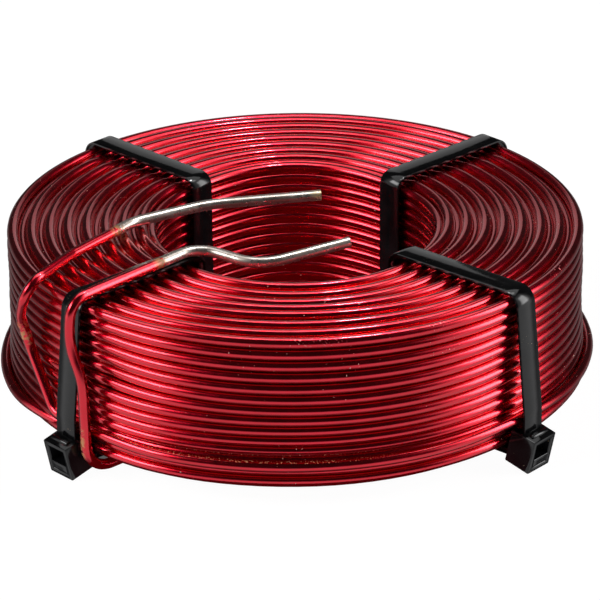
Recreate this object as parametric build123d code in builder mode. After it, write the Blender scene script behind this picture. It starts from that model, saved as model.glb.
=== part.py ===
from build123d import *
import math
import os

# Air-core crossover coil, millimetres.  Z is the coil axis, Z = 0 is the bench it stands on,
# -Y is the front, where both leads come up beside the left tie.

# ---- driving dimensions ------------------------------------------------------------------
wire_dia = 1.70          # 14 AWG magnet wire over its enamel
turn_slack = 0.05        # between neighbouring turns along the axis
stripped = 0.13          # enamel and copper scraped off a lead's end, on the radius
solder_thick = 0.11      # tinning on a lead's end
tinning_gap = 0.02       # solder to copper, on the radius
turns = 14               # turns in every layer
layers = 16              # layers, the outermost one standing half a pitch high
bore_dia = 44.1          # clear hole through the middle
clearance = 2.7          # underside of the winding above the bench

tie_width = 4.2
tie_thick = 1.00
tie_play = 0.06          # strap to wire crests
head_cheek = 0.5         # head wider than the strap, each side
head_tall = 5.9
head_deep = 4.7
head_edge = 0.30
slot_cheek = 0.15        # strap slot narrower than the strap, each side
slot_tall = 1.5          # open part of the slot above the trimmed tail
slot_deep = 2.2
tail_tall = 1.3          # cut end of the tail
tail_out = 0.25          # the tail's cut end stands out of the head
root_bead = 0.45         # radius of the bead where the strap leaves the head
head_tilt = 13.0         # degrees, outward face looking slightly down

front_left_at = -46.8    # tie angles, degrees from the front towards the right
front_right_at = 48.2
back_right_at = 133.5
back_left_at = -134.5
front_standoff = 0.0     # extra reach of the heads beyond the loose bottom turn
back_standoff = 1.9

# ---- sizes that follow -------------------------------------------------------------------
wire_r = wire_dia / 2
bare_dia = wire_dia - 2 * stripped
tinned_dia = bare_dia + 2 * (tinning_gap + solder_thick)
turn_pitch = wire_dia + turn_slack
layer_step = math.sqrt(wire_dia ** 2 - (turn_pitch / 2) ** 2)
inner_r = bore_dia / 2 + wire_r                       # wire centres of the first layer
outer_r = inner_r + (layers - 1) * layer_step         # wire centres of the last layer
low_z = clearance + wire_r                            # lowest turn of a low layer
high_z = low_z + turn_pitch / 2                       # lowest turn of a high layer
climb = (turns - 1) * turn_pitch
winding_r = outer_r + wire_r
head_wide = tie_width + 2 * head_cheek
slot_wide = tie_width - 2 * slot_cheek
top_z = high_z + climb + wire_r
loose_r = outer_r + wire_dia + 0.12                   # the loose turn clears the wall


def around(angle, radius, height):
    """Point at an angle from the front, towards the right."""
    a = math.radians(angle)
    return (radius * math.sin(a), -radius * math.cos(a), height)


def between(a, b, share):
    """Point part of the way from a to b."""
    return tuple(p + (q - p) * share for p, q in zip(a, b))


# ---- lead routes -------------------------------------------------------------------------
lead_z = top_z + wire_r + 0.12                        # a lead resting over the top turns
over_z = top_z + tie_play + tie_thick + wire_r + 0.10  # a lead resting over a strap

# finish lead: end of the loose turn, up the wall, over the edge, across the top
finish_rise = [
    around(-62.18, winding_r + 1.31, high_z + 0.58 * climb),
    around(-60.54, winding_r + 2.97, high_z + 0.795 * climb),
    around(-56.18, winding_r + 3.62, lead_z),
    around(-65.73, winding_r - 7.66, lead_z),
]
finish_rise_bends = [3.0, 8.0, 6.0, 3.2, 6.0]
finish_end = [
    around(-82.43, inner_r + 2.92, lead_z),
    around(-100.12, inner_r - 8.68, lead_z + 0.4),
    (3.8, 4.0, lead_z + 1.2),
]
finish_end_bends = [3.0, 8.0]
finish_tinned_from = between(finish_rise[-1], finish_end[0], 0.74)
finish_rise.append(finish_tinned_from)
finish_end.insert(0, finish_tinned_from)

# start lead: out of the first layer, under the coil, up beside the left tie, over its strap
start_rise = [
    around(-35.0, inner_r, high_z),
    around(-35.0, inner_r, clearance - wire_r - 0.10),
    around(-41.48, winding_r + 2.70, clearance - wire_r - 0.10),
    around(-41.66, winding_r + 2.98, high_z + 0.566 * climb),
    around(-44.34, winding_r + 3.47, high_z + 0.808 * climb),
    around(-43.67, winding_r + 3.19, over_z),
]
start_rise_bends = [1.3, 3.4, 4.0, 4.0, 3.0]
start_end = [
    around(-44.07, inner_r - 1.05, over_z),
    around(-14.41, inner_r - 0.39, over_z - 0.5),
    around(27.45, inner_r - 5.55, over_z + 0.4),
]
start_end_bends = [2.4, 3.4]
start_tinned_from = between(start_rise[-1], start_end[0], 0.71)
start_rise.append(start_tinned_from)
start_end.insert(0, start_tinned_from)


def bent(points, bends):
    """Straight runs joined by one bend radius at each corner, as a list of curves."""
    corners = [Vector(*p) for p in points]
    at = corners[0]
    run = []
    for i, radius in enumerate(bends, start=1):
        corner = corners[i]
        back = (corners[i - 1] - corner).normalized()
        ahead = (corners[i + 1] - corner).normalized()
        half = math.radians(back.get_angle(ahead)) / 2
        cut = radius / math.tan(half)
        one = corner + back * cut
        two = corner + ahead * cut
        middle = (back + ahead).normalized() * (radius / math.sin(half) - radius) + corner
        run.append(Line(at, one, mode=Mode.PRIVATE))
        run.append(ThreePointArc(one, middle, two, mode=Mode.PRIVATE))
        at = two
    run.append(Line(at, corners[-1], mode=Mode.PRIVATE))
    return run


def round_rod(run, radius):
    """A round rod along a chain of curves."""
    chain = Wire([c.edge() if not isinstance(c, Edge) else c for c in run])
    start = chain % 0
    face = Face(Wire.make_circle(radius, Plane(origin=chain @ 0, z_dir=start)))
    return sweep(face, path=chain, mode=Mode.PRIVATE)


# ---- magnet wire: winding, loose bottom turn and both leads, one length of wire --------------
def boundary_turns():
    """Wire centres on the four sides of the packed section."""
    spots = []
    for layer in range(layers):
        r = outer_r - layer * layer_step
        z0 = high_z if layer % 2 == 0 else low_z
        rows = range(turns) if layer in (0, layers - 1) else (0, turns - 1)
        spots += [(r, z0 + row * turn_pitch) for row in rows]
    return spots


def packed_core():
    """Outline through the outer turns, behind their rounded backs."""
    tuck = 0.25
    under, over = [], []
    for layer in range(layers):
        r = outer_r - layer * layer_step
        r += tuck if layer == 0 else (-tuck if layer == layers - 1 else 0)
        z0 = high_z if layer % 2 == 0 else low_z
        under.append((r, z0 - tuck))
        over.append((r, z0 + climb + tuck))
    return under + over[::-1]


loose_turn = [
    (-53, outer_r - 0.80, high_z + 0.20 * turn_pitch),
    (-61, outer_r + 0.70, high_z + 0.36 * turn_pitch),
    (-71, loose_r, high_z + 0.50 * turn_pitch),
    (-90, loose_r, high_z + 0.58 * turn_pitch),
    (-120, loose_r + 0.05, high_z + 0.68 * turn_pitch),
    (-150, loose_r + 0.10, high_z + 0.80 * turn_pitch),
    (-180, loose_r + 0.20, high_z + 0.92 * turn_pitch),
    (-210, loose_r + 0.30, high_z + 1.06 * turn_pitch),
    (-240, loose_r + 0.40, high_z + 1.22 * turn_pitch),
    (-270, loose_r + 0.42, high_z + 1.45 * turn_pitch),
    (-290, loose_r + 0.30, high_z + 1.70 * turn_pitch),
    (-315, loose_r + 0.05, high_z + 2.10 * turn_pitch),
    (-345, loose_r, high_z + 2.10 * turn_pitch),
    (-375, loose_r, high_z + 2.07 * turn_pitch),
    (-407, loose_r, high_z + 2.07 * turn_pitch),
]

with BuildPart() as winding:
    with BuildSketch(Plane.XZ):
        with Locations(*boundary_turns()):
            Circle(wire_r)
        Polygon(*packed_core(), align=None)
    revolve(axis=Axis.Z)

start_lead = round_rod(bent(start_rise, start_rise_bends), wire_r)
start_lead += round_rod(bent(start_end, start_end_bends), bare_dia / 2)

turn = Spline(*[around(*s) for s in loose_turn])
leave = (turn @ 1) + (turn % 1) * 4.6
rise = [tuple(turn @ 1), tuple(leave)] + finish_rise
finish_lead = round_rod([turn] + bent(rise, finish_rise_bends), wire_r)
finish_lead += round_rod(bent(finish_end, finish_end_bends), bare_dia / 2)

with BuildPart() as magnet_wire:
    add(winding.part + start_lead + finish_lead)
magnet_wire.part.label = "magnet_wire"


# ---- solder tinning on each stripped end -----------------------------------------------------
def tinning(points, bends):
    """A closed-ended skin of solder round the bare end."""
    tip = Vector(*points[-1])
    out = (tip - Vector(*points[-2])).normalized()
    beyond = points[:-1] + [tuple(tip + out * 0.35)]
    skin = round_rod(bent(beyond, bends), tinned_dia / 2)
    hollow = round_rod(bent(points[:-1] + [tuple(tip + out * 0.02)], bends), bare_dia / 2 + tinning_gap)
    cap = Solid.make_cylinder(tinned_dia / 2, 0.55, Plane(origin=tip + out * 0.35, z_dir=out))
    cap = cap.fillet(0.5, cap.edges().sort_by(Axis(tip, out))[-1:])
    return skin + cap - hollow


with BuildPart() as lead_tinning_finish:
    add(tinning(finish_end, finish_end_bends))
lead_tinning_finish.part.label = "lead_tinning_finish"

with BuildPart() as lead_tinning_start:
    add(tinning(start_end, start_end_bends))
lead_tinning_start.part.label = "lead_tinning_start"


# ---- cable ties: strap and head in one moulding ------------------------------------------------
def cable_tie(angle, standoff):
    lean = math.radians(head_tilt)
    bore_face = math.sqrt((bore_dia / 2) ** 2 - (tie_width / 2) ** 2) - tie_play  # flat strap, round bore
    wall_face = winding_r + tie_play
    knee_r = loose_r + wire_r + 0.12 + standoff
    knee_z = high_z + 2.75 * turn_pitch
    under_face = clearance - tie_play
    over_face = top_z + tie_play
    head_r = winding_r + head_deep / 2 + standoff
    head_z = (
        head_deep / 2 * math.sin(lean)
        + head_tall / 2 * math.cos(lean)
        - head_edge * (math.sin(lean) + math.cos(lean) - 1)
    )
    radial = Plane(origin=(0, 0, 0), x_dir=around(angle, 1, 0), z_dir=around(angle - 90, 1, 0))
    head_plane = radial * Plane(
        origin=(head_r, head_z, 0), x_dir=(math.cos(lean), -math.sin(lean), 0), z_dir=(0, 0, 1)
    )
    t = tie_thick
    inside = [
        (bore_face, under_face),
        (bore_face, over_face),
        (wall_face, over_face),
        (knee_r, knee_z),
        (knee_r, head_z),
        (head_r, under_face),
    ]
    outside = [
        (bore_face - t, under_face - t),
        (bore_face - t, over_face + t),
        (wall_face + t, over_face + t),
        (knee_r + t, knee_z + 0.1),
        (knee_r + t, head_z),
        (head_r, under_face - t),
    ]
    with BuildPart(mode=Mode.PRIVATE) as tie:
        # strap: up from the head, over, down the bore, back under into the head
        with BuildSketch(radial):
            with BuildLine():
                Polyline(*outside, close=True)
            make_face()
            fillet([v for v in vertices() if v.Y > over_face], 2.0)
            fillet([v for v in vertices() if v.Y < under_face and v.X < bore_face], 1.8)
        extrude(amount=tie_width / 2, both=True)
        with BuildSketch(radial):
            with BuildLine():
                Polyline(*inside, close=True)
            make_face()
            fillet([v for v in vertices() if v.Y > over_face - 0.1], 0.8)
            fillet([v for v in vertices() if v.Y < under_face + 0.1 and v.X < bore_face + 1], 0.8)
        extrude(amount=tie_width, both=True, mode=Mode.SUBTRACT)
        # head: a small tilted block with the strap fused through it
        with BuildSketch(head_plane):
            Rectangle(head_deep, head_tall)
            fillet(vertices(), head_edge)
        extrude(amount=head_wide / 2, both=True)
        # bead where the strap leaves the head
        with Locations(head_plane * Location((knee_r + t - head_r, head_tall / 2, 0))):
            Cylinder(root_bead, tie_width - 0.6)
        # open part of the slot above the trimmed tail, and the tail's cut end
        with Locations(head_plane * Location((head_deep / 2, 0.55, 0))):
            Box(2 * slot_deep, slot_tall, slot_wide, mode=Mode.SUBTRACT)
        with Locations(head_plane * Location((head_deep / 2, -1.05, 0))):
            Box(2 * tail_out, tail_tall, slot_wide)
    return tie.part


with BuildPart() as cable_tie_front_left:
    add(cable_tie(front_left_at, front_standoff))
cable_tie_front_left.part.label = "cable_tie_front_left"

with BuildPart() as cable_tie_front_right:
    add(cable_tie(front_right_at, front_standoff))
cable_tie_front_right.part.label = "cable_tie_front_right"

with BuildPart() as cable_tie_back_right:
    add(cable_tie(back_right_at, back_standoff))
cable_tie_back_right.part.label = "cable_tie_back_right"

with BuildPart() as cable_tie_back_left:
    add(cable_tie(back_left_at, back_standoff))
cable_tie_back_left.part.label = "cable_tie_back_left"


# ---- write the pieces ------------------------------------------------------------------------
os.makedirs("parts", exist_ok=True)
for piece in (
    magnet_wire,
    lead_tinning_finish,
    lead_tinning_start,
    cable_tie_front_left,
    cable_tie_front_right,
    cable_tie_back_right,
    cable_tie_back_left,
):
    export_step(piece.part, f"parts/{piece.part.label}.step")
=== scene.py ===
"""Air-core crossover coil: the wound wire with its two leads, the tinned ends and the cable ties.

Lengths are in millimetres until Blender gets them.  Z is the coil's axis and Z = 0 the bench,
-Y is the front, +X the right.  Angles round the coil run from the front towards the right.
"""
import math

import bpy
from mathutils import Matrix, Vector


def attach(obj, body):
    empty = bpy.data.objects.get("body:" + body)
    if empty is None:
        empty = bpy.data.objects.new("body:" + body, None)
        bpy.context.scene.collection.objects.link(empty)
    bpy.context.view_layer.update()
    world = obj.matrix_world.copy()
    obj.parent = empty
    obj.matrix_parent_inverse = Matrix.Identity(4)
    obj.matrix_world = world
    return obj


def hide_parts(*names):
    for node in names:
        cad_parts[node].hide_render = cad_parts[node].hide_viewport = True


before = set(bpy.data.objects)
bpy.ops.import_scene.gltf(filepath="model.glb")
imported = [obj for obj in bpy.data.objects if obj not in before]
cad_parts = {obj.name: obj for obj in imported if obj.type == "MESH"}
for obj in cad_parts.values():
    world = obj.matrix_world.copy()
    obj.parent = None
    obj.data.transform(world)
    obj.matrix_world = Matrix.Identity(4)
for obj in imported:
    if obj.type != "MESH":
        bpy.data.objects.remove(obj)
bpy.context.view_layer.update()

MM = 0.001

# ---- sizes of the coil ------------------------------------------------------------------------
wire_dia = 1.70
bare_dia = 1.44
tinned_dia = 1.70
turn_pitch = 1.75
turns = 14
layers = 16
bore_dia = 44.1
clearance = 2.7          # under the winding, which the tie heads keep off the bench
wire_gap = 0.12          # beside a wire that is led along the winding

wire_r = wire_dia / 2
layer_step = math.sqrt(wire_dia ** 2 - (turn_pitch / 2) ** 2)
inner_r = bore_dia / 2 + wire_r
outer_r = inner_r + (layers - 1) * layer_step
low_z = clearance + wire_r
high_z = low_z + turn_pitch / 2
climb = (turns - 1) * turn_pitch
winding_r = outer_r + wire_r
top_z = high_z + climb + wire_r
loose_r = outer_r + wire_dia + wire_gap

# ---- how loosely the wire lies between the ties -----------------------------------------------
strays = {13: -0.05, 11: -0.23, 9: -0.90, 7: -0.50, 5: 0.43, 3: 0.50}    # layer: its top turn in front
stray_reach = 44         # degrees from the front at which they are back in place
wobble = 0.05            # of every turn, in and out

bow_top = 0.1            # how far the top row bows out in front
bow_more = 1.3           # and the middle rows beyond that
bow_rows = 11            # rows over which the bow comes and goes, from the top
bow_left = 38            # degrees from the front at which the upper rows lie tight again
bow_right = 46
low_bow_left = 45.5      # the same for the low rows
low_bow_more = 0.5       # what they bow out beyond the rest
low_row = 8              # rows under this one turn into low ones
low_over = 2.5           # over this many

side_flare = 0.85        # how far the bottom row stands off at the right, and half as far at the left
flare_rows = 5           # rows over which that goes
bulge_front = 0.7        # how far the bore's rows give way outwards between the front ties
bulge_back = 1.75        # and between the back ones

swap_from = 127          # degrees from the front, behind which the layers change height
swap_over = 7            # degrees that the change takes
layer_swap = 0.8         # how far they change, as a share of half a pitch
bore_swap = 0.3
filling_in = 1.2         # from the middle of the turns that show

# ---- sizes of a cable tie ---------------------------------------------------------------------
tie_width = 4.2
tie_thick = 1.00
tie_play = 0.06
rail_out = 0.30          # the rails along the strap's inside stand out this far, each side
rail_thick = 0.36
strap_bends = [1.35, 1.7, 2.1, 6.0, 0.8]
head_wide = 5.2
head_tall = 5.9
head_deep = 4.7
head_edge = 0.30
head_round = 0.20
head_lean = math.radians(13.0)    # outward face looking slightly down
window_rim = 0.80
window_step = 0.35
window_taper = 0.96
slot_wide = 3.9
slot_deep = 2.2
tail_tall = 1.3
tail_low = 1.25          # middle of the tail, below the middle of the head
sill_tall = 0.7
sill_low = 2.15
bead_r = 0.45
ties = {                 # angle round the coil, and how far the head stands off the wall
    "front_left": (-46.8, 0.0),
    "front_right": (48.2, 0.0),
    "back_right": (133.5, 1.9),
    "back_left": (-134.5, 1.9),
}

# the head stands on the bench on its lower edge
head_z = (
    head_deep / 2 * math.sin(head_lean) + head_tall / 2 * math.cos(head_lean)
    - head_edge * (math.sin(head_lean) + math.cos(head_lean) - 1)
)
edge_angle = math.radians(40)     # edges sharper than this are rounded
crease_angle = math.radians(35)   # and those left are shaded sharp from here
bend_step = 7                     # degrees between two points of a bend


# ---- small helpers ----------------------------------------------------------------------------
def around(angle, radius, height):
    """Point at an angle round the coil."""
    a = math.radians(angle)
    return Vector((radius * math.sin(a), -radius * math.cos(a), height))


def between(a, b, share):
    """A value or place some share of the way from a to b."""
    return a + (b - a) * share


def held(value):
    """The value, held between 0 and 1."""
    return min(1, max(0, value))


def wrapped(angle):
    """The same angle between -180 and 180 degrees."""
    return (angle + 180) % 360 - 180


def hump(angle, middle, reach):
    """1 at the middle angle, falling evenly to 0 at its reach."""
    off = wrapped(angle - middle)
    return math.cos(math.radians(90 * off / reach)) ** 2 if abs(off) < reach else 0


def drop_selection():
    """Leave edit mode with nothing selected."""
    if bpy.context.object and bpy.context.object.mode != "OBJECT":
        bpy.ops.object.mode_set(mode="OBJECT")
    bpy.ops.object.select_all(action="DESELECT")


def pick(piece):
    """Select one piece and nothing else."""
    drop_selection()
    piece.select_set(True)
    bpy.context.view_layer.objects.active = piece


def seat():
    """Move what is selected into its mesh, so that its object sits at the origin, unturned."""
    bpy.ops.object.transform_apply(location=True, rotation=True, scale=True)


def join(name, parts):
    """One object from several, seated at the origin."""
    drop_selection()
    for part in parts:
        part.select_set(True)
    bpy.context.view_layer.objects.active = parts[0]
    bpy.ops.object.join()
    seat()
    parts[0].name = name
    parts[0].data.name = name
    return parts[0]


def select_whole(piece):
    """Open a piece in edit mode with all of it selected."""
    pick(piece)
    bpy.ops.object.mode_set(mode="EDIT")
    bpy.ops.mesh.select_all(action="SELECT")


def pick_outer_face(piece):
    """Open a piece in edit mode with just the face selected that looks along +X."""
    bpy.ops.object.mode_set(mode="EDIT")
    bpy.ops.mesh.select_mode(type="FACE")
    bpy.ops.mesh.select_all(action="DESELECT")
    bpy.ops.object.mode_set(mode="OBJECT")
    for face in piece.data.polygons:
        face.select = face.normal.x > 0.9
    bpy.ops.object.mode_set(mode="EDIT")


def face_outwards():
    """Point the faces being edited outwards, and leave edit mode."""
    bpy.ops.mesh.normals_make_consistent(inside=False)
    bpy.ops.object.mode_set(mode="OBJECT")


def soften(piece, width, steps=2):
    """Round the sharp edges and shade the rest smooth."""
    bevel = piece.modifiers.new("edges", "BEVEL")
    bevel.width = width * MM
    bevel.segments = steps
    bevel.limit_method = "ANGLE"
    bevel.angle_limit = edge_angle
    bpy.ops.object.modifier_apply(modifier=bevel.name)
    bpy.ops.object.shade_smooth_by_angle(angle=crease_angle)


def block(size, place):
    """Box of a size, its middle at a place."""
    drop_selection()
    bpy.ops.mesh.primitive_cube_add(size=1, location=[v * MM for v in place])
    piece = bpy.context.object
    piece.scale = [v * MM for v in size]
    seat()
    return piece


def sheet(name, size, place, upright=False):
    """Flat rectangle, its middle at a place, lying down or standing up across Y."""
    drop_selection()
    bpy.ops.mesh.primitive_plane_add(
        size=1, location=[v * MM for v in place], rotation=(math.pi / 2 if upright else 0, 0, 0),
    )
    piece = bpy.context.object
    piece.name = name
    piece.scale = (size[0] * MM, size[1] * MM, 1)
    seat()
    return piece


def drawn_line(name, points, closed, twist="MINIMUM"):
    """Curve that runs straight from point to point."""
    line = bpy.data.curves.new(name, "CURVE")
    line.dimensions = "3D"
    line.twist_mode = twist
    spline = line.splines.new("POLY")
    spline.points.add(len(points) - 1)
    spline.use_cyclic_u = closed
    for place, point in zip(spline.points, points):
        place.co = (*(point * MM), 1)
    piece = bpy.data.objects.new(name, line)
    bpy.context.collection.objects.link(piece)
    return piece


def as_mesh(piece):
    """The mesh that a curve with thickness stands for."""
    pick(piece)
    bpy.ops.object.convert(target="MESH")
    return bpy.context.object


def wire_along(name, points, radius, sides=3, closed=False):
    """Round wire laid along a line of points, joined up or with its ends closed."""
    line = drawn_line(name, points, closed)
    line.data.bevel_depth = radius * MM
    line.data.bevel_resolution = sides
    line.data.use_fill_caps = True
    piece = as_mesh(line)
    bpy.ops.object.shade_smooth()
    return piece


def formed(corners, bends):
    """Points along straight runs that are joined by one bend radius at each corner."""
    points = [corners[0]]
    for here, radius, before, after in zip(corners[1:], bends, corners, corners[2:]):
        back, ahead = (before - here).normalized(), (after - here).normalized()
        half = back.angle(ahead) / 2
        centre = here + (back + ahead).normalized() * (radius / math.sin(half))
        start = here + back * (radius / math.tan(half)) - centre
        end = here + ahead * (radius / math.tan(half)) - centre
        bend = start.angle(end)
        steps = max(2, round(math.degrees(bend) / bend_step))
        axis = start.cross(end)
        for k in range(steps + 1):
            points.append(centre + Matrix.Rotation(bend * k / steps, 3, axis) @ start)
    return points + [corners[-1]]


def eased(p, q, r, s, t):
    """Value on an even curve from q to r, with p before them and s after."""
    return 0.5 * (
        2 * q + (r - p) * t + (2 * p - 5 * q + 4 * r - s) * t ** 2 + (3 * q - p - 3 * r + s) * t ** 3
    )


def smooth_line(stations, steps):
    """Points on an even curve through stations of angle, radius and height."""
    ends = [stations[0]] + stations + [stations[-1]]
    points = []
    for a, b, c, d in zip(ends, ends[1:], ends[2:], ends[3:]):
        for k in range(steps):
            points.append(around(*(eased(*values, k / steps) for values in zip(a, b, c, d))))
    return points + [around(*stations[-1])]


# ---- winding ----------------------------------------------------------------------------------
def bow(angle, row):
    """How far the outer rows stand off in front; the low ones keep it up to the left tie."""
    angle = wrapped(angle)
    most = bow_top + bow_more * math.sin(math.pi * held((turns - 1 - row) / bow_rows))
    upper = most * max(0, 1 - (abs(angle) / (bow_left if angle < 0 else bow_right)) ** 3)
    if angle > 0:
        return upper
    lower = (most + low_bow_more * hump(angle, -30, 30)) * max(0, 1 - (abs(angle) / low_bow_left) ** 8)
    return between(upper, lower, held((low_row - row) / low_over))


def slack(angle, radius, height):
    """How far the wire lies outside its true circle between two ties."""
    depth = (outer_r - radius) / (outer_r - inner_r)
    row = (height - high_z) / turn_pitch
    flared = side_flare * max(0, 1 - row / flare_rows) * (hump(angle, 90, 38) + 0.5 * hump(angle, -90, 35))
    front = max(0, 1 - abs(wrapped(angle) / bow_right) ** 3)
    bulged = bulge_front * front + bulge_back * hump(angle, 180, 45)
    return (1 - depth) * (bow(angle, row) + flared) + depth * bulged


def turn(radius, height, steps, sides, stray=0, swap=0):
    """One turn of the winding, closed on itself; behind, it swaps height with the next layer."""
    points = []
    for k in range(steps):
        angle = 360 * k / steps
        uneven = wobble * math.sin(math.radians(3 * angle + 40 * height + 90 * radius))
        wander = stray * hump(angle, 0, stray_reach) + uneven
        behind = held((abs(wrapped(angle)) - swap_from) / swap_over)
        points.append(around(
            angle, radius + slack(angle, radius, height) + wander,
            height + swap * turn_pitch / 2 * behind,
        ))
    return wire_along("turn", points, wire_r, sides, closed=True)


def filling():
    """What fills the winding behind the turns that show, spun from its cross-section."""
    piece = sheet(
        "filling", (outer_r - inner_r - 2 * filling_in, climb + turn_pitch / 4),
        ((inner_r + outer_r) / 2, 0, (low_z + high_z + climb) / 2), upright=True,
    )
    select_whole(piece)
    bpy.ops.mesh.spin(steps=72, angle=2 * math.pi, center=(0, 0, 0), axis=(0, 0, 1))
    bpy.ops.mesh.select_all(action="SELECT")
    bpy.ops.mesh.remove_doubles(threshold=0.02 * MM)
    bpy.ops.mesh.delete_loose()
    face_outwards()
    return piece


def winding():
    """The turns that show on the four sides of the winding, and what fills it."""
    parts = []
    for row in range(turns):
        parts.append(turn(outer_r, high_z + row * turn_pitch, steps=144, sides=5))
        parts.append(turn(inner_r, low_z + row * turn_pitch, steps=84, sides=4, swap=bore_swap))
    for layer in range(1, layers - 1):
        radius = outer_r - (layers - 1 - layer) * layer_step
        bottom = high_z if layer % 2 else low_z
        swap = -layer_swap if layer % 2 else layer_swap
        stray = strays.get(layer, 0)
        parts.append(turn(radius, bottom, steps=96, sides=3, swap=swap))
        parts.append(turn(radius, bottom + climb, steps=120, sides=5, stray=stray, swap=swap))
    return parts + [filling()]


# ---- leads ------------------------------------------------------------------------------------
lead_z = top_z + wire_r + wire_gap
over_z = top_z + tie_play + tie_thick + wire_r + 0.10
under_z = clearance - wire_r - 0.10
solder_past = 0.35       # how far the solder goes past the tip of the copper

loose_stations = [       # angle, radius and height along the loose bottom turn
    (-53, outer_r - 0.80, high_z + 0.20 * turn_pitch),
    (-61, outer_r + 0.70, high_z + 0.36 * turn_pitch),
    (-71, loose_r, high_z + 0.50 * turn_pitch),
    (-90, loose_r, high_z + 0.58 * turn_pitch),
    (-120, loose_r, high_z + 0.68 * turn_pitch),
    (-150, loose_r, high_z + 0.80 * turn_pitch),
    (-180, loose_r + 0.05, high_z + 0.92 * turn_pitch),
    (-210, loose_r + 0.10, high_z + 1.06 * turn_pitch),
    (-240, loose_r + 0.12, high_z + 1.22 * turn_pitch),
    (-270, loose_r + 0.15, high_z + 1.45 * turn_pitch),
    (-290, loose_r + 0.10, high_z + 1.70 * turn_pitch),
    (-315, loose_r + 0.05, high_z + 2.10 * turn_pitch),
    (-330, loose_r + 0.45, high_z + 2.10 * turn_pitch),
    (-345, loose_r + 0.85, high_z + 2.10 * turn_pitch),
    (-365, loose_r + 1.05, high_z + 2.08 * turn_pitch),
    (-385, loose_r + 1.05, high_z + 2.07 * turn_pitch),
    (-396, loose_r + 0.40, high_z + 2.07 * turn_pitch),
    (-401, loose_r + 0.05, high_z + 2.07 * turn_pitch),
    (-407, loose_r, high_z + 2.07 * turn_pitch),
]
loose_run_out = 4.6      # straight on from the loose turn, before the finish lead bends up

finish_rise = [
    around(-62.18, winding_r + 1.31, high_z + 0.58 * climb),
    around(-60.54, winding_r + 2.97, high_z + 0.795 * climb),
    around(-56.18, winding_r + 3.62, lead_z),
    around(-65.73, winding_r - 7.66, lead_z),
]
finish_rise_bends = [3.0, 8.0, 6.0, 3.2, 6.0]
finish_end = [
    around(-82.43, inner_r + 2.92, lead_z),
    around(-100.12, inner_r - 8.68, lead_z + 0.4),
    Vector((3.8, 4.0, lead_z + 1.2)),
]
finish_end_bends = [6.5, 14.0]
finish_tinned_from = between(finish_rise[-1], finish_end[0], 0.74)

start_rise = [
    around(-35.0, inner_r, high_z),
    around(-35.0, inner_r, under_z),
    around(-41.48, winding_r + 2.70, under_z),
    around(-41.66, winding_r + 2.98, high_z + 0.566 * climb),
    around(-44.34, winding_r + 3.47, high_z + 0.808 * climb),
    around(-43.67, winding_r + 3.19, over_z),
]
start_rise_bends = [1.3, 4.6, 12.0, 12.0, 3.0]
start_end = [
    around(-44.07, inner_r - 1.05, over_z),
    around(-14.41, inner_r - 0.39, over_z - 0.5),
    around(27.45, inner_r - 5.55, over_z + 0.4),
]
start_end_bends = [4.4, 7.0]
start_tinned_from = between(start_rise[-1], start_end[0], 0.71)


def bare_end(name, start, corners, bends):
    """Stripped copper, inside its solder."""
    return wire_along(name, formed([start] + corners, bends), bare_dia / 2, 1)


def finish_lead():
    """The loose bottom turn, and the lead that it becomes."""
    loose = smooth_line(loose_stations, steps=9)
    onward = (loose[-1] - loose[-2]).normalized()
    rise = [loose[-1], loose[-1] + onward * loose_run_out] + finish_rise + [finish_tinned_from]
    return [
        wire_along("loose_turn", loose[:-1] + formed(rise, finish_rise_bends), wire_r),
        bare_end("finish_bare", finish_tinned_from, finish_end, finish_end_bends),
    ]


def start_lead():
    """The lead that comes out under the winding, climbs it and bends in over the front left tie."""
    return [
        wire_along("start_lead", formed(start_rise + [start_tinned_from], start_rise_bends), wire_r),
        bare_end("start_bare", start_tinned_from, start_end, start_end_bends),
    ]


def tinned_end(name, start, corners, bends):
    """Solder over a bare end and its tip."""
    out = (corners[-1] - corners[-2]).normalized()
    path = formed([start] + corners[:-1] + [corners[-1] + out * solder_past], bends)
    return wire_along(name, path, tinned_dia / 2, 4)


# ---- cable ties -------------------------------------------------------------------------------
def strap_section():
    """Outline of the strap: flat, with a thin rail along each inner edge and rounded outer edges."""
    half = tie_thick / 2
    rail, body = tie_width / 2, tie_width / 2 - rail_out
    side = [
        (-half, rail - 0.14), (-half + 0.07, rail - 0.03), (-half + rail_thick - 0.08, rail),
        (-half + rail_thick, rail - 0.18), (-half + rail_thick + 0.03, body), (half - 0.30, body - 0.14),
        (half - 0.13, body - 0.24), (half - 0.04, body - 0.38), (half, body - 0.58),
    ]
    return [Vector((x, y, 0)) for x, y in side] + [Vector((x, -y, 0)) for x, y in reversed(side)]


def pulled_strap(standoff):
    """The strap round the winding, drawn flat."""
    half = tie_thick / 2
    inside = math.sqrt((bore_dia / 2) ** 2 - (tie_width / 2) ** 2) - tie_play - half
    low, high = clearance - tie_play - half, top_z + tie_play + half
    knee = loose_r + wire_r + wire_gap + half
    root = Vector((winding_r + head_deep / 2 + standoff, low, 0))
    corners = [
        root,
        Vector((inside, low, 0)),
        Vector((inside, high, 0)),
        Vector((winding_r + tie_play + half * 0.9, high, 0)),
        Vector((knee, high_z + 2.75 * turn_pitch, 0)),
        Vector((knee, head_z, 0)),
        root,
    ]
    section = drawn_line("strap_section", strap_section(), True, "Z_UP")
    strap = drawn_line("strap", formed(corners, strap_bends)[:-1], True, "Z_UP")
    strap.data.bevel_mode = "OBJECT"
    strap.data.bevel_object = section
    strap = as_mesh(strap)
    bpy.data.objects.remove(section)
    return strap


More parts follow.
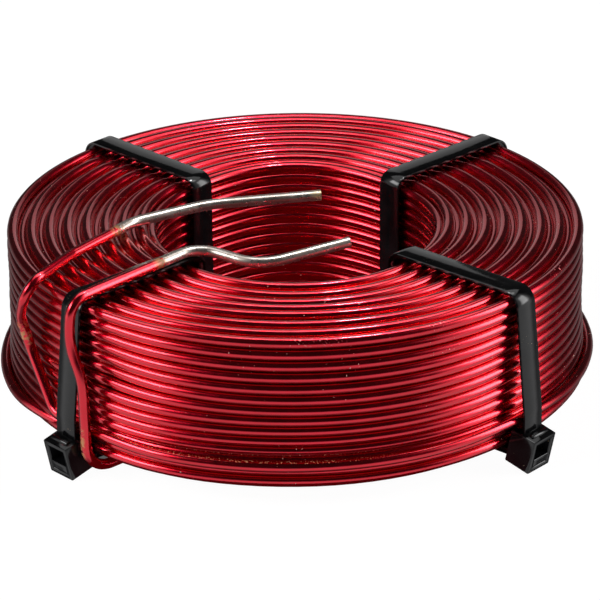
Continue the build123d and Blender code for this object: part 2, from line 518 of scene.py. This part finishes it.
def head_body():
    """The head's block, with the window in its outward face and the strap slot behind that."""
    body = block((head_deep, head_wide, head_tall), (0, 0, 0))
    pick_outer_face(body)
    bpy.ops.mesh.inset(thickness=window_rim * MM, depth=0)
    bpy.ops.mesh.extrude_region_move(TRANSFORM_OT_translate={"value": (-window_step * MM, 0, 0)})
    bpy.ops.transform.resize(value=(1, window_taper, window_taper))
    bpy.ops.mesh.extrude_region_move(TRANSFORM_OT_translate={"value": (-slot_deep * MM, 0, 0)})
    bpy.ops.object.mode_set(mode="OBJECT")
    soften(body, head_round)
    return body


def cut_tail():
    """The strap's own end in the slot, rough where it was cut."""
    tail = block(
        (slot_deep + 0.2, slot_wide - 0.55, tail_tall), (head_deep / 2 - slot_deep / 2 - 0.12, 0, -tail_low),
    )
    pick_outer_face(tail)
    bpy.ops.mesh.inset(thickness=0.16 * MM, depth=0.05 * MM)
    bpy.ops.mesh.subdivide(number_cuts=3, fractal=0.5, seed=4)
    bpy.ops.object.mode_set(mode="OBJECT")
    soften(tail, 0.06, 1)
    return tail


def slot_sill():
    """The sill under the tail."""
    sill = block((1.2, slot_wide - 0.5, sill_tall), (head_deep / 2 - 1.0, 0, -sill_low))
    soften(sill, 0.12)
    return sill


def root_bead():
    """The bead on top of the head, where the strap grows out of it."""
    drop_selection()
    bpy.ops.mesh.primitive_cylinder_add(
        vertices=20, radius=bead_r * MM, depth=(tie_width - 0.5) * MM,
        location=(head_deep / 2 * MM * 0.42, 0, (head_tall / 2 - 0.03) * MM), rotation=(math.pi / 2, 0, 0),
    )
    bead = bpy.context.object
    soften(bead, 0.12)
    return bead


def locking_head(standoff):
    """A whole head, leaning where it stands."""
    head = join("head", [head_body(), cut_tail(), slot_sill(), root_bead()])
    head.rotation_euler = (0, head_lean, 0)
    head.location = ((winding_r + head_deep / 2 + standoff) * MM, 0, head_z * MM)
    pick(head)
    seat()
    return head


def cable_tie(standoff):
    """One tie, lying out along +X from the coil's axis."""
    strap = pulled_strap(standoff)
    strap.rotation_euler = (math.pi / 2, 0, 0)
    seat()
    select_whole(strap)
    face_outwards()
    bpy.ops.object.shade_smooth_by_angle(angle=crease_angle)
    return join("tie", [strap, locking_head(standoff)])


def turned_to(master, angle, name):
    """A copy of a tie, with its own mesh, at its angle round the coil."""
    piece = master.copy()
    piece.data = master.data.copy()
    bpy.context.collection.objects.link(piece)
    pick(piece)
    piece.rotation_euler = (0, 0, math.radians(angle - 90))
    seat()
    piece.name = piece.data.name = name
    return piece


# ---- finishes ---------------------------------------------------------------------------------
class Pattern:
    """Short words for the nodes that finishes and the studio's light are made of."""

    def __init__(self, tree, coordinates):
        self.nodes, self.links = tree.nodes, tree.links
        self.place = self.nodes.new("ShaderNodeTexCoord").outputs[coordinates]

    def put(self, socket, value):
        """Give a socket a number, a colour or another node's output."""
        if isinstance(value, (int, float)):
            socket.default_value = value
        elif isinstance(value, tuple):
            socket.default_value = (*value, 1)
        else:
            self.links.new(value, socket)

    def calc(self, operation, a, b=0.5):
        """One sum or function of one or two numbers."""
        node = self.nodes.new("ShaderNodeMath")
        node.operation = operation
        self.put(node.inputs[0], a)
        self.put(node.inputs[1], b)
        return node.outputs[0]

    def plus(self, a, b):
        return self.calc("ADD", a, b)

    def times(self, a, b):
        return self.calc("MULTIPLY", a, b)

    def all_of(self, *masks):
        """1 only where every mask is."""
        total = masks[0]
        for mask in masks[1:]:
            total = self.times(total, mask)
        return total

    def any_of(self, *masks):
        """1 where any mask is."""
        total = masks[0]
        for mask in masks[1:]:
            total = self.calc("MAXIMUM", total, mask)
        return total

    def fade(self, value, low, high):
        """0 at low, 1 at high; the other way round when low is the larger."""
        node = self.nodes.new("ShaderNodeMapRange")
        node.interpolation_type = "SMOOTHSTEP"
        self.put(node.inputs["Value"], value)
        self.put(node.inputs["From Min"], min(low, high))
        self.put(node.inputs["From Max"], max(low, high))
        if low < high:
            return node.outputs["Result"]
        return self.calc("SUBTRACT", 1.0, node.outputs["Result"])

    def axes(self):
        """The place's X, Y and Z."""
        node = self.nodes.new("ShaderNodeSeparateXYZ")
        self.put(node.inputs[0], self.place)
        return node.outputs

    def near(self, point, core, reach):
        """1 within the core distance of a point (in mm), 0 beyond its reach."""
        node = self.nodes.new("ShaderNodeVectorMath")
        node.operation = "DISTANCE"
        self.put(node.inputs[0], self.place)
        node.inputs[1].default_value = tuple(point * MM)
        return self.fade(node.outputs["Value"], reach * MM, core * MM)

    def off_axis(self):
        """Distance from the coil's axis."""
        x, y, _ = self.axes()
        return self.calc("SQRT", self.plus(self.times(x, x), self.times(y, y)))

    def grain(self, size, detail=2.0):
        """Noise whose lumps are about this many millimetres across."""
        node = self.nodes.new("ShaderNodeTexNoise")
        self.put(node.inputs["Vector"], self.place)
        self.put(node.inputs["Scale"], 1 / (size * MM))
        self.put(node.inputs["Detail"], detail)
        return node.outputs[0]

    def blend(self, mask, under, over):
        """Colour or number that changes from under to over where the mask is 1."""
        node = self.nodes.new("ShaderNodeMix")
        colour = isinstance(over, tuple)
        node.data_type = "RGBA" if colour else "FLOAT"
        first = 6 if colour else 2
        self.put(node.inputs[0], mask)
        self.put(node.inputs[first], under)
        self.put(node.inputs[first + 1], over)
        return node.outputs[2 if colour else 0]

    def mottled(self, size, detail, under, over):
        """Colour or number that wanders between two values, in lumps of this many millimetres."""
        return self.blend(self.fade(self.grain(size, detail), 0.3, 0.7), under, over)


class Finish(Pattern):
    """A material, and the pattern that it is made of."""

    def __init__(self, name):
        self.mat = bpy.data.materials.new(name)
        self.mat.use_nodes = True
        super().__init__(self.mat.node_tree, "Object")
        self.shader = self.nodes["Principled BSDF"]
        self.surface = self.nodes["Material Output"].inputs["Surface"]

    def set(self, socket, value):
        """Give one of the shader's sockets its value or pattern."""
        self.put(self.shader.inputs[socket], value)

    def relief(self, height, depth):
        """Surface relief, its depth in millimetres."""
        node = self.nodes.new("ShaderNodeBump")
        self.put(node.inputs["Height"], height)
        node.inputs["Strength"].default_value = 1
        node.inputs["Distance"].default_value = depth * MM
        self.set("Normal", node.outputs[0])


def scorched_at(coat):
    """Where the soldering scorched the enamel: at both roots of the tinning."""
    return coat.all_of(
        coat.any_of(coat.near(finish_tinned_from, 0.8, 2.6), coat.near(start_tinned_from, 0.8, 2.6)),
        coat.fade(coat.grain(0.9, 4), 0.36, 0.50),
    )


def rubbed_at(coat):
    """Where bending rubbed the enamel through: on both leads' lower bends, and down one edge."""
    bends = coat.all_of(
        coat.any_of(
            coat.near(between(finish_rise[0], finish_rise[1], 0.35), 1.0, 4.0),
            coat.near(between(start_rise[2], start_rise[3], 0.42), 0.2, 0.9),
        ),
        coat.fade(coat.off_axis(), (winding_r + 0.2) * MM, (winding_r + 0.6) * MM),
        coat.fade(coat.grain(0.8, 3), 0.46, 0.62),
    )
    x, _, _ = coat.axes()
    left_edge = coat.all_of(
        coat.near(between(start_rise[2], start_rise[3], 0.16), 2.5, 6.5),
        coat.fade(x, (start_rise[2].x - 0.05) * MM, (start_rise[2].x - 0.60) * MM),
        coat.fade(coat.grain(0.7, 4), 0.36, 0.56),
    )
    return coat.any_of(bends, left_edge)


def grit_at(coat):
    """Where grit has caught: a thin line in front, in the groove above the loose turn."""
    x, y, z = coat.axes()
    return coat.all_of(
        coat.fade(z, (high_z + 2.46 * turn_pitch) * MM, (high_z + 2.52 * turn_pitch) * MM),
        coat.fade(z, (high_z + 2.72 * turn_pitch) * MM, (high_z + 2.64 * turn_pitch) * MM),
        coat.fade(y, -30 * MM, -36 * MM),
        coat.fade(x, 18 * MM, 4 * MM),
        coat.fade(coat.grain(0.28, 3), 0.59, 0.65),
    )


def scuffed_at(coat):
    """Where the top outer turn is scuffed: in three places in front."""
    _, _, z = coat.axes()
    return coat.all_of(
        coat.fade(coat.off_axis(), (outer_r - 0.4) * MM, outer_r * MM),
        coat.fade(z, (top_z - 1.3) * MM, (top_z - 0.5) * MM),
        coat.any_of(
            coat.near(around(4, outer_r, top_z), 2.0, 5.5),
            coat.near(around(27, outer_r, top_z), 0.8, 2.4),
            coat.near(around(63, outer_r, top_z), 1.0, 4.0),
        ),
        coat.fade(coat.grain(0.35, 4), 0.57, 0.72),
    )


def red_enamel():
    """Clear red enamel over drawn copper, with its wear."""
    coat = Finish("red_enamel_wire")
    scorched, rubbed, grit, scuffed = scorched_at(coat), rubbed_at(coat), grit_at(coat), scuffed_at(coat)
    specks = coat.all_of(
        coat.fade(coat.grain(0.26, 0), 0.83, 0.86),
        coat.fade(coat.grain(7.0, 0), 0.60, 0.64),
    )
    bare = coat.any_of(scorched, rubbed, grit, specks)
    worn = coat.any_of(bare, scuffed)

    tone = coat.mottled(5.0, 2, (0.58, 0.002, 0.016), (0.66, 0.003, 0.023))
    for mask, worn_tone in (
        (scorched, (0.34, 0.17, 0.06)),
        (rubbed, (0.50, 0.22, 0.09)),
        (grit, (0.72, 0.44, 0.20)),
        (scuffed, (0.85, 0.25, 0.25)),
        (specks, (0.85, 0.62, 0.50)),
    ):
        tone = coat.blend(mask, tone, worn_tone)
    coat.set("Base Color", tone)
    coat.set("Metallic", coat.blend(bare, 1.0, 0.25))
    coat.set("Roughness", coat.blend(worn, coat.mottled(2.5, 3, 0.20, 0.25), 0.6))
    coat.set("Coat Weight", coat.blend(worn, 0.8, 0.2))
    coat.set("Coat Roughness", 0.05)
    coat.set("Coat IOR", 1.52)
    coat.relief(coat.plus(coat.times(coat.grain(1.6, 2), 0.35), coat.times(bare, 1.5)), 0.014)
    return coat.mat


def solder():
    """Hand-tinned solder, with burnt flux at its root and a rough tip."""
    skin = Finish("bright_solder")
    dross = skin.all_of(
        skin.near(finish_end[-1], 0.4, 2.0),
        skin.fade(skin.grain(0.5, 4), 0.42, 0.56),
    )
    flux = skin.all_of(
        skin.any_of(skin.near(finish_tinned_from, 0.3, 2.0), skin.near(start_tinned_from, 0.3, 1.7)),
        skin.fade(skin.grain(0.55, 4), 0.44, 0.54),
    )
    pits = skin.fade(skin.grain(0.34, 3), 0.68, 0.74)

    tone = skin.blend(skin.fade(skin.grain(1.8, 3), 0.35, 0.65), (0.52, 0.47, 0.43), (0.38, 0.33, 0.29))
    for mask, spot_tone in (
        (pits, (0.30, 0.25, 0.21)),
        (flux, (0.30, 0.13, 0.04)),
        (dross, (0.62, 0.46, 0.22)),
    ):
        tone = skin.blend(mask, tone, spot_tone)
    skin.set("Base Color", tone)
    skin.set("Metallic", skin.blend(skin.any_of(flux, dross), 0.92, 0.3))
    skin.set("Roughness", skin.mottled(0.9, 4, 0.25, 0.34))
    skin.relief(skin.plus(skin.grain(1.6, 3), skin.times(pits, -0.3)), 0.05)
    return skin.mat


def nylon():
    """Moulded black nylon, dusty in places."""
    black = Finish("black_nylon_tie")
    dust = black.all_of(
        black.fade(black.grain(0.28, 1), 0.75, 0.78),
        black.fade(black.grain(9.0, 1), 0.54, 0.60),
    )
    tone = black.mottled(3.0, 3, (0.0025, 0.0025, 0.003), (0.005, 0.005, 0.0055))
    black.set("Base Color", black.blend(dust, tone, (0.30, 0.22, 0.14)))
    black.set("Roughness", black.mottled(1.4, 4, 0.07, 0.14))
    black.set("IOR", 1.46)
    black.set("Specular IOR Level", 0.42)
    black.relief(black.plus(black.times(black.grain(1.2, 3), 0.6), black.times(dust, 0.5)), 0.02)
    return black.mat


def finish_with(piece, mat):
    """Give a piece its one material."""
    piece.data.materials.clear()
    piece.data.materials.append(mat)


# ---- the coil's pieces ------------------------------------------------------------------------
enamel_mat, solder_mat, nylon_mat = red_enamel(), solder(), nylon()

wire = join("wound_wire", winding() + finish_lead() + start_lead())
finish_with(wire, enamel_mat)
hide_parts("magnet_wire")
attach(wire, "root")

for label, start, corners, bends in (
    ("finish", finish_tinned_from, finish_end, finish_end_bends),
    ("start", start_tinned_from, start_end, start_end_bends),
):
    skin = tinned_end(f"{label}_solder", start, corners, bends)
    finish_with(skin, solder_mat)
    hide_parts(f"lead_tinning_{label}")
    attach(skin, "root")

masters = {standoff: cable_tie(standoff) for standoff in sorted({reach for _, reach in ties.values()})}
for label, (angle, standoff) in ties.items():
    tie = turned_to(masters[standoff], angle, f"tie_{label}")
    finish_with(tie, nylon_mat)
    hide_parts(f"cable_tie_{label}")
    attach(tie, "root")
for master in masters.values():
    bpy.data.objects.remove(master)

# ---- floor, studio and camera -----------------------------------------------------------------
floor_size = 6000
floor_glow = 1.08
matt_share = 0.10        # how much of the floor is lit instead of glowing
painted_shadow_glow = 0.10      # the floor's glow in the painted shadow below the start lead's bend
# middle of the painted shadow on the floor
painted_shadow_place = around(-47.4, 41.8, 0)

dark_glow = 0.03         # of the surroundings where nothing else is
panels = [               # sides, rises, strength and softness of the edges; angles in degrees
    ((-104, -52), (-14, 52), 1.0, 8),
    ((62, 110), (-12, 52), 1.0, 8),
    ((-90, -58), (22, 42), 11.0, 5),
    ((77, 102), (0, 40), 8.0, 6),
    ((-110, 110), (-62, -8), 0.9, 9),
]
rings = [                # rises, strength and softness, all round; -120 is past straight down
    ((-40, 0), 0.15, 6),
    ((-120, -62), 0.2, 10),
]

overheads = [            # name, size, place of the middle, strength
    ("overhead", (230, 122), (0, 36, 172.925), 1.5),
    ("overhead_core", (130, 34), (25, 5, 172.75), 5.0),
    ("overhead_lamp", (20, 20), (30, 14, 170.0), 60.0),
]
card_size = (100, 140)   # the low card behind the coil
card_place = (0, 200, 60)
card_glow = 0.42
shade_r = 49             # painted shade: a disc under the coil that the wire mirrors as its shaded bench
shade_z = 0.2
# glow of the disc: painted shade, tinted with painted red light
painted_shade_tone = (0.09, 0.004, 0.007)

camera_place = Vector((0, -550.01, 265.31))
camera_down = math.radians(24.517)
camera_roll = -0.0088    # radians
camera_shift = (0.00685, -0.00703)
sensor_width = 36
lens = 226.8
near_limit = 0.01        # metres


def glow(paper, strength, colour=(1.0, 1.0, 1.0)):
    """Light that the paper gives off by itself."""
    node = paper.nodes.new("ShaderNodeEmission")
    paper.put(node.inputs["Color"], colour)
    paper.put(node.inputs["Strength"], strength)
    return node.outputs[0]


def only_mirrored(piece, finish_name, strength, colour=(1.0, 1.0, 1.0)):
    """Make a piece of the studio glow, seen only in what mirrors it."""
    paper = Finish(finish_name)
    paper.nodes.remove(paper.shader)
    paper.put(paper.surface, glow(paper, strength, colour))
    finish_with(piece, paper.mat)
    piece.visible_camera = False
    piece.visible_shadow = False
    piece.visible_diffuse = False


def floor():
    """White paper, with a painted shadow where the start lead's bend comes close to it."""
    piece = sheet("floor", (floor_size, floor_size), (0, 0, 0))
    paper = Finish("white_paper")
    paper.nodes.remove(paper.shader)
    # painted shadow: the floor glows less near the start lead's bend
    painted_shadow = paper.near(painted_shadow_place, 1.6, 3.6)
    matt = paper.nodes.new("ShaderNodeBsdfDiffuse")
    paper.put(matt.inputs["Color"], (0.9, 0.9, 0.9))
    mix = paper.nodes.new("ShaderNodeMixShader")
    paper.put(mix.inputs["Fac"], matt_share)
    paper.put(mix.inputs[1], glow(paper, paper.blend(painted_shadow, floor_glow, painted_shadow_glow)))
    paper.put(mix.inputs[2], matt.outputs[0])
    paper.put(paper.surface, mix.outputs[0])
    finish_with(piece, paper.mat)
    piece.visible_glossy = False
    piece.visible_shadow = False


def studio():
    """White surroundings for the camera, and what the wire mirrors painted on them by direction."""
    world = bpy.data.worlds.new("studio")
    bpy.context.scene.world = world
    world.use_nodes = True
    world.node_tree.nodes.clear()
    light = Pattern(world.node_tree, "Generated")
    x, y, z = light.axes()
    side = light.calc("ARCTAN2", x, light.times(y, -1))
    rise = light.calc("ARCSINE", z)

    def band(value, low, high, soft):
        """1 between two angles, soft across its edges; all in degrees."""
        return light.times(
            light.fade(value, math.radians(low - soft), math.radians(low + soft)),
            light.fade(value, math.radians(high + soft), math.radians(high - soft)),
        )

    total = dark_glow
    for sides, rises, strength, soft in panels:
        patch = light.times(band(side, *sides, soft), band(rise, *rises, soft))
        total = light.plus(light.times(patch, strength), total)
    for rises, strength, soft in rings:
        total = light.plus(light.times(band(rise, *rises, soft), strength), total)

    camera_sees = light.nodes.new("ShaderNodeLightPath").outputs["Is Camera Ray"]
    back = light.nodes.new("ShaderNodeBackground")
    light.put(back.inputs["Strength"], light.blend(camera_sees, total, 1.0))
    out = light.nodes.new("ShaderNodeOutputWorld")
    light.put(out.inputs["Surface"], back.outputs[0])


def overhead():
    """Diffuser over the coil, its bright core and the lamp in it, for the wire and ties to mirror."""
    for name, size, place, strength in overheads:
        piece = sheet(name, size, place)
        only_mirrored(piece, f"{name}_glow", strength)


def back_card():
    """Low white card behind the coil, for the wire to mirror."""
    piece = sheet("back_card", card_size, card_place, upright=True)
    only_mirrored(piece, "card_glow", card_glow)


def bench_shade():
    """Dark red glowing disc under the coil, seen only in reflections: painted shade of the bench, with
    painted red light from the wire.
    """
    drop_selection()
    bpy.ops.mesh.primitive_circle_add(
        vertices=64, radius=shade_r * MM, fill_type="NGON", location=(0, 0, shade_z * MM),
    )
    piece = bpy.context.object
    piece.name = "bench_shade"
    # the disc glows with painted shade and painted red light, seen only in reflections
    only_mirrored(piece, "painted_bench_shade", 1.0, painted_shade_tone)


def camera():
    """The camera, in front of the coil and looking down at it."""
    eye = bpy.data.cameras.new("camera")
    eye.sensor_width = sensor_width
    eye.lens = lens
    eye.shift_x, eye.shift_y = camera_shift
    eye.clip_start = near_limit
    piece = bpy.data.objects.new("camera", eye)
    bpy.context.collection.objects.link(piece)
    piece.matrix_world = (
        Matrix.Translation(camera_place * MM)
        @ Matrix.Rotation(math.pi / 2 - camera_down, 4, "X")
        @ Matrix.Rotation(camera_roll, 4, "Z")
    )
    bpy.context.scene.camera = piece


floor()
studio()
overhead()
back_card()
bench_shade()
camera()
bpy.context.scene.view_settings.view_transform = "Standard"
